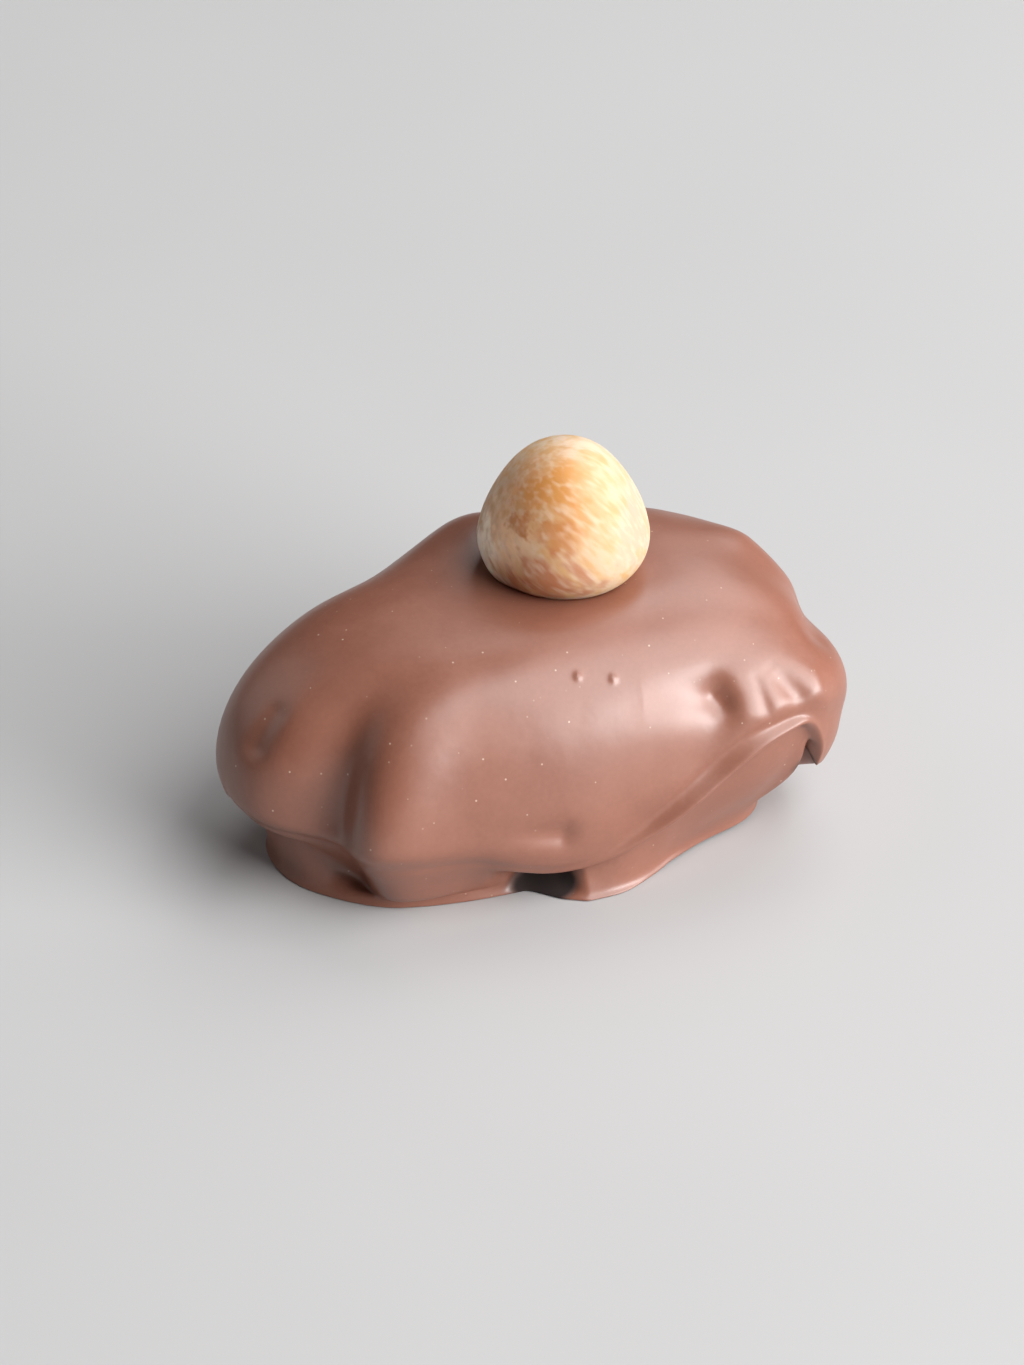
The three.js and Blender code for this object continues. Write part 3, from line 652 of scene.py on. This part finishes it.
class Nodes:
    """A material's node tree in millimetres, with short calls for the nodes used here."""

    # Places of the colour sockets among those of a Mix node
    FIRST_COLOUR = 6
    SECOND_COLOUR = 7
    MIXED_COLOUR = 2

    def __init__(self, name):
        self.material = bpy.data.materials.new(name)
        self.material.use_nodes = True
        self.tree = self.material.node_tree
        self.shader = self.tree.nodes["Principled BSDF"]
        coordinates = self.tree.nodes.new("ShaderNodeTexCoord")
        scale = self.tree.nodes.new("ShaderNodeMapping")
        scale.inputs["Scale"].default_value = (1 / MM, 1 / MM, 1 / MM)
        self.link(coordinates.outputs["Object"], scale.inputs["Vector"])
        self.place = scale.outputs["Vector"]

    def link(self, source, target):
        self.tree.links.new(source, target)

    def feed(self, value, socket):
        """Links a socket to a value that is another socket, or sets it to a plain value."""
        if isinstance(value, bpy.types.NodeSocket):
            self.link(value, socket)
        else:
            socket.default_value = value

    def mapped(self, stretch=(1, 1, 1), turn=(0, 0, 0), move=(0, 0, 0)):
        """Coordinates of a texture that is stretched, turned and moved."""
        node = self.tree.nodes.new("ShaderNodeMapping")
        node.vector_type = "TEXTURE"
        node.inputs["Location"].default_value = move
        node.inputs["Rotation"].default_value = turn
        node.inputs["Scale"].default_value = stretch
        self.link(self.place, node.inputs["Vector"])
        return node.outputs["Vector"]

    def noise(self, size, detail, place=None):
        """Noise whose features are about size millimetres across."""
        node = self.tree.nodes.new("ShaderNodeTexNoise")
        node.inputs["Scale"].default_value = 1 / size
        node.inputs["Detail"].default_value = detail
        self.link(place or self.place, node.inputs["Vector"])
        return node.outputs["Fac"]

    def specks(self, spacing):
        """Distance to scattered points, in shares of their spacing, and a random colour for each."""
        node = self.tree.nodes.new("ShaderNodeTexVoronoi")
        node.inputs["Scale"].default_value = 1 / spacing
        self.link(self.place, node.inputs["Vector"])
        return node.outputs["Distance"], node.outputs["Color"]

    def range(self, value, low, high, to_low=0.0, to_high=1.0):
        """Smooth step from one value to another while the given value goes from low to high."""
        node = self.tree.nodes.new("ShaderNodeMapRange")
        node.interpolation_type = "SMOOTHSTEP"
        self.feed(value, node.inputs["Value"])
        node.inputs["From Min"].default_value = low
        node.inputs["From Max"].default_value = high
        node.inputs["To Min"].default_value = to_low
        node.inputs["To Max"].default_value = to_high
        return node.outputs["Result"]

    def math(self, operation, *values):
        node = self.tree.nodes.new("ShaderNodeMath")
        node.operation = operation
        for value, socket in zip(values, node.inputs):
            self.feed(value, socket)
        return node.outputs["Value"]

    def centred(self, noise, reach):
        """Noise turned into millimetres about zero, with the given reach from its lowest to its highest."""
        return self.math("MULTIPLY_ADD", noise, reach, -reach / 2)

    def blend(self, share, first, second):
        node = self.tree.nodes.new("ShaderNodeMix")
        node.data_type = "RGBA"
        self.feed(share, node.inputs["Factor"])
        self.feed(first, node.inputs[self.FIRST_COLOUR])
        self.feed(second, node.inputs[self.SECOND_COLOUR])
        return node.outputs[self.MIXED_COLOUR]

    def distance_to(self, point, half_size=(1, 1, 1)):
        """Distance to a point, in millimetres or in shares of the half sizes of a ball round it."""
        node = self.tree.nodes.new("ShaderNodeVectorMath")
        node.operation = "LENGTH"
        self.link(self.mapped(stretch=half_size, move=point), node.inputs[0])
        return node.outputs["Value"]

    def bump(self, height, depth, below=None):
        """Normals of a low relief, its depth in millimetres, over the normals of the one below."""
        node = self.tree.nodes.new("ShaderNodeBump")
        node.inputs["Distance"].default_value = depth * MM
        node.inputs["Strength"].default_value = 1.0
        self.link(height, node.inputs["Height"])
        if below:
            self.link(below, node.inputs["Normal"])
        return node.outputs["Normal"]


def chocolate_material(place):
    """Milk chocolate: satin, softly clouded, with tiny pale specks, and painted shade, near-black and
    rougher, deep inside the slit and the recess.
    """
    nodes = Nodes("milk_chocolate")
    cloud = nodes.noise(**CHOCOLATE_CLOUD)
    grain = nodes.noise(**CHOCOLATE_GRAIN)
    cloud_tone = nodes.range(cloud, *NOISE_SPAN, 0, CHOCOLATE_CLOUD_SHARE)
    grain_tone = nodes.range(grain, *NOISE_SPAN, 0, 1 - CHOCOLATE_CLOUD_SHARE)
    colour = nodes.blend(nodes.math("ADD", cloud_tone, grain_tone), CHOCOLATE_DARK, CHOCOLATE_LIGHT)
    distance, pick = nodes.specks(SPECK_SPACING)
    speck = nodes.math("MULTIPLY", nodes.range(distance, *SPECK_EDGE, 1, 0), nodes.range(pick, *SPECK_PICK))
    colour = nodes.blend(speck, colour, SPECK_COLOUR)
    roughness = nodes.range(cloud, *NOISE_SPAN, *CHOCOLATE_ROUGHNESS)
    # Painted shade: towards the middle of each deep part the colour goes near-black and the roughness rises
    for hollow in SHADED_HOLLOWS:
        distance = nodes.distance_to(place + np.array(hollow["middle"]), hollow["half_size"])
        depth = nodes.range(distance, *PAINTED_SHADE_FADE)
        colour = nodes.blend(depth, colour, PAINTED_SHADE_COLOUR)
        roughness = nodes.math("MAXIMUM", roughness, depth)
    ripple = nodes.bump(nodes.noise(**CHOCOLATE_RIPPLE), CHOCOLATE_RIPPLE_DEPTH)
    nodes.link(colour, nodes.shader.inputs["Base Color"])
    nodes.link(roughness, nodes.shader.inputs["Roughness"])
    nodes.link(nodes.bump(grain, CHOCOLATE_GRAIN_DEPTH, ripple), nodes.shader.inputs["Normal"])
    nodes.shader.inputs["IOR"].default_value = CHOCOLATE_IOR
    return nodes.material


def hazelnut_material(middle):
    """Blanched kernel: ivory and cream, with slanting streaks, frayed patches and fine pale veins, with
    painted light on its left side from a pale patch and a partly chalky one, and a red-brown low at its
    front that is partly painted shade.
    """
    nodes = Nodes("hazelnut_kernel")
    slant = nodes.mapped(**KERNEL_SLANT)
    streak = nodes.noise(**KERNEL_STREAKS, place=slant)
    vein = nodes.noise(**KERNEL_VEINS, place=slant)
    cloud = nodes.noise(**KERNEL_CLOUD)
    fray = nodes.math(
        "ADD",
        nodes.centred(streak, PATCH_FRAY["streaks"]),
        nodes.centred(cloud, PATCH_FRAY["cloud"]),
    )
    colour = nodes.blend(nodes.range(streak, *KERNEL_STREAK_SPAN), IVORY, CREAM)
    for patch in PATCHES:
        distance = nodes.math("ADD", nodes.distance_to(middle + np.array(patch["offset"])), fray)
        core = PATCH_CORE * patch["radius"]
        share = nodes.range(distance, patch["radius"], core, 0, patch["strength"])
        colour = nodes.blend(share, colour, patch["colour"])
    colour = nodes.blend(nodes.range(vein, *KERNEL_VEIN_SPAN, 0, KERNEL_VEIN_STRENGTH), colour, BLOOM)
    wrinkles = nodes.bump(streak, KERNEL_STREAK_DEPTH)
    grain = nodes.bump(nodes.noise(**KERNEL_GRAIN), KERNEL_GRAIN_DEPTH, wrinkles)
    nodes.link(colour, nodes.shader.inputs["Base Color"])
    nodes.link(nodes.range(cloud, *NOISE_SPAN, *KERNEL_ROUGHNESS), nodes.shader.inputs["Roughness"])
    nodes.link(grain, nodes.shader.inputs["Normal"])
    nodes.shader.inputs["IOR"].default_value = KERNEL_IOR
    nodes.shader.inputs["Subsurface Weight"].default_value = KERNEL_SUBSURFACE["weight"]
    nodes.shader.inputs["Subsurface Radius"].default_value = KERNEL_SUBSURFACE["radius"]
    nodes.shader.inputs["Subsurface Scale"].default_value = KERNEL_SUBSURFACE["scale"] * MM
    return nodes.material


def floor_material():
    """Plain pale floor, faintly clouded."""
    nodes = Nodes("pale_floor")
    colour = nodes.blend(nodes.noise(**FLOOR_CLOUD), FLOOR_DARK, FLOOR_LIGHT)
    nodes.link(colour, nodes.shader.inputs["Base Color"])
    nodes.shader.inputs["Roughness"].default_value = FLOOR_ROUGHNESS
    return nodes.material


def view_axes():
    """Level directions to the camera's right and away from it, and the direction up."""
    right = Vector((math.cos(CAMERA_AZIMUTH), math.sin(CAMERA_AZIMUTH), 0))
    away = Vector((-math.sin(CAMERA_AZIMUTH), math.cos(CAMERA_AZIMUTH), 0))
    return right, away, Vector((0, 0, 1))


def add_light(name, right, away, height, size, power):
    """Soft oblong light, placed as the camera sees it and aimed at the middle of the chocolate."""
    right_axis, away_axis, up_axis = view_axes()
    place = right_axis * right + away_axis * away + up_axis * height
    target = up_axis * (HEIGHT / 2 * MM)
    data = bpy.data.lights.new(name, "AREA")
    data.shape = "RECTANGLE"
    data.size, data.size_y = size
    data.energy = power
    light = bpy.data.objects.new(name, data)
    light.location = place
    light.rotation_euler = (target - place).to_track_quat("-Z", "Y").to_euler()
    bpy.context.collection.objects.link(light)


def add_room_light():
    """Lights, a faint even light from all sides, and colours shown as they are."""
    for light in LIGHTS:
        add_light(**light)
    world = bpy.data.worlds.new("room")
    world.use_nodes = True
    background = world.node_tree.nodes["Background"]
    background.inputs["Color"].default_value = ROOM_COLOUR
    background.inputs["Strength"].default_value = ROOM_STRENGTH
    bpy.context.scene.world = world
    bpy.context.scene.view_settings.view_transform = "Standard"


def add_camera(place):
    """Camera whose view puts the solids' own origin on its pixel of the photograph."""
    focal = PIXELS_PER_MM * CAMERA_DISTANCE
    right, away, up_axis = view_axes()
    back = up_axis * math.sin(CAMERA_ELEVATION) - away * math.cos(CAMERA_ELEVATION)
    upward = back.cross(right)
    aside = (ORIGIN_PIXEL[0] - FRAME_WIDTH / 2) / PIXELS_PER_MM
    above = (ORIGIN_PIXEL[1] - FRAME_HEIGHT / 2) / PIXELS_PER_MM
    eye = Vector(place) + back * CAMERA_DISTANCE - right * aside + upward * above
    data = bpy.data.cameras.new("camera")
    data.sensor_fit = "VERTICAL"
    data.sensor_width = CAMERA_SENSOR
    data.sensor_height = CAMERA_SENSOR
    data.lens = focal / FRAME_HEIGHT * CAMERA_SENSOR
    data.clip_start = CAMERA_NEAR * MM
    camera = bpy.data.objects.new("camera", data)
    camera.matrix_world = Matrix.Translation(eye * MM) @ Matrix((right, upward, back)).transposed().to_4x4()
    bpy.context.collection.objects.link(camera)
    bpy.context.scene.camera = camera


def add_floor():
    """Square floor that the piece stands on, which isn't part of it."""
    half = FLOOR_HALF_SIDE * MM
    mesh = bpy.data.meshes.new("floor")
    corners = [(-half, -half, 0), (half, -half, 0), (half, half, 0), (-half, half, 0)]
    mesh.from_pydata(corners, [], [(0, 1, 2, 3)])
    mesh.materials.append(floor_material())
    floor = bpy.data.objects.new("floor", mesh)
    bpy.context.collection.objects.link(floor)


def build():
    """Both pieces in the place of their solids, then the floor, the light and the camera."""
    coat = coat_grid()
    kernel = kernel_grid()
    both = np.concatenate([coat.reshape(-1, 3), kernel.reshape(-1, 3)])
    middle = (both.min(axis=0) + both.max(axis=0)) / 2
    place = np.array([-middle[0], -middle[1], 0.0])

    chocolate = mesh_piece("chocolate_coat", coat, place, chocolate_material(place))
    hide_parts("chocolate")
    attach(chocolate, "root")

    kernel_middle = SEAT + [0, 0, KERNEL_LOW - SEAT_DEPTH] + place
    hazelnut = mesh_piece("hazelnut_kernel", kernel, place, hazelnut_material(kernel_middle))
    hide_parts("hazelnut")
    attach(hazelnut, "root")

    add_floor()
    add_room_light()
    add_camera(place)


build()
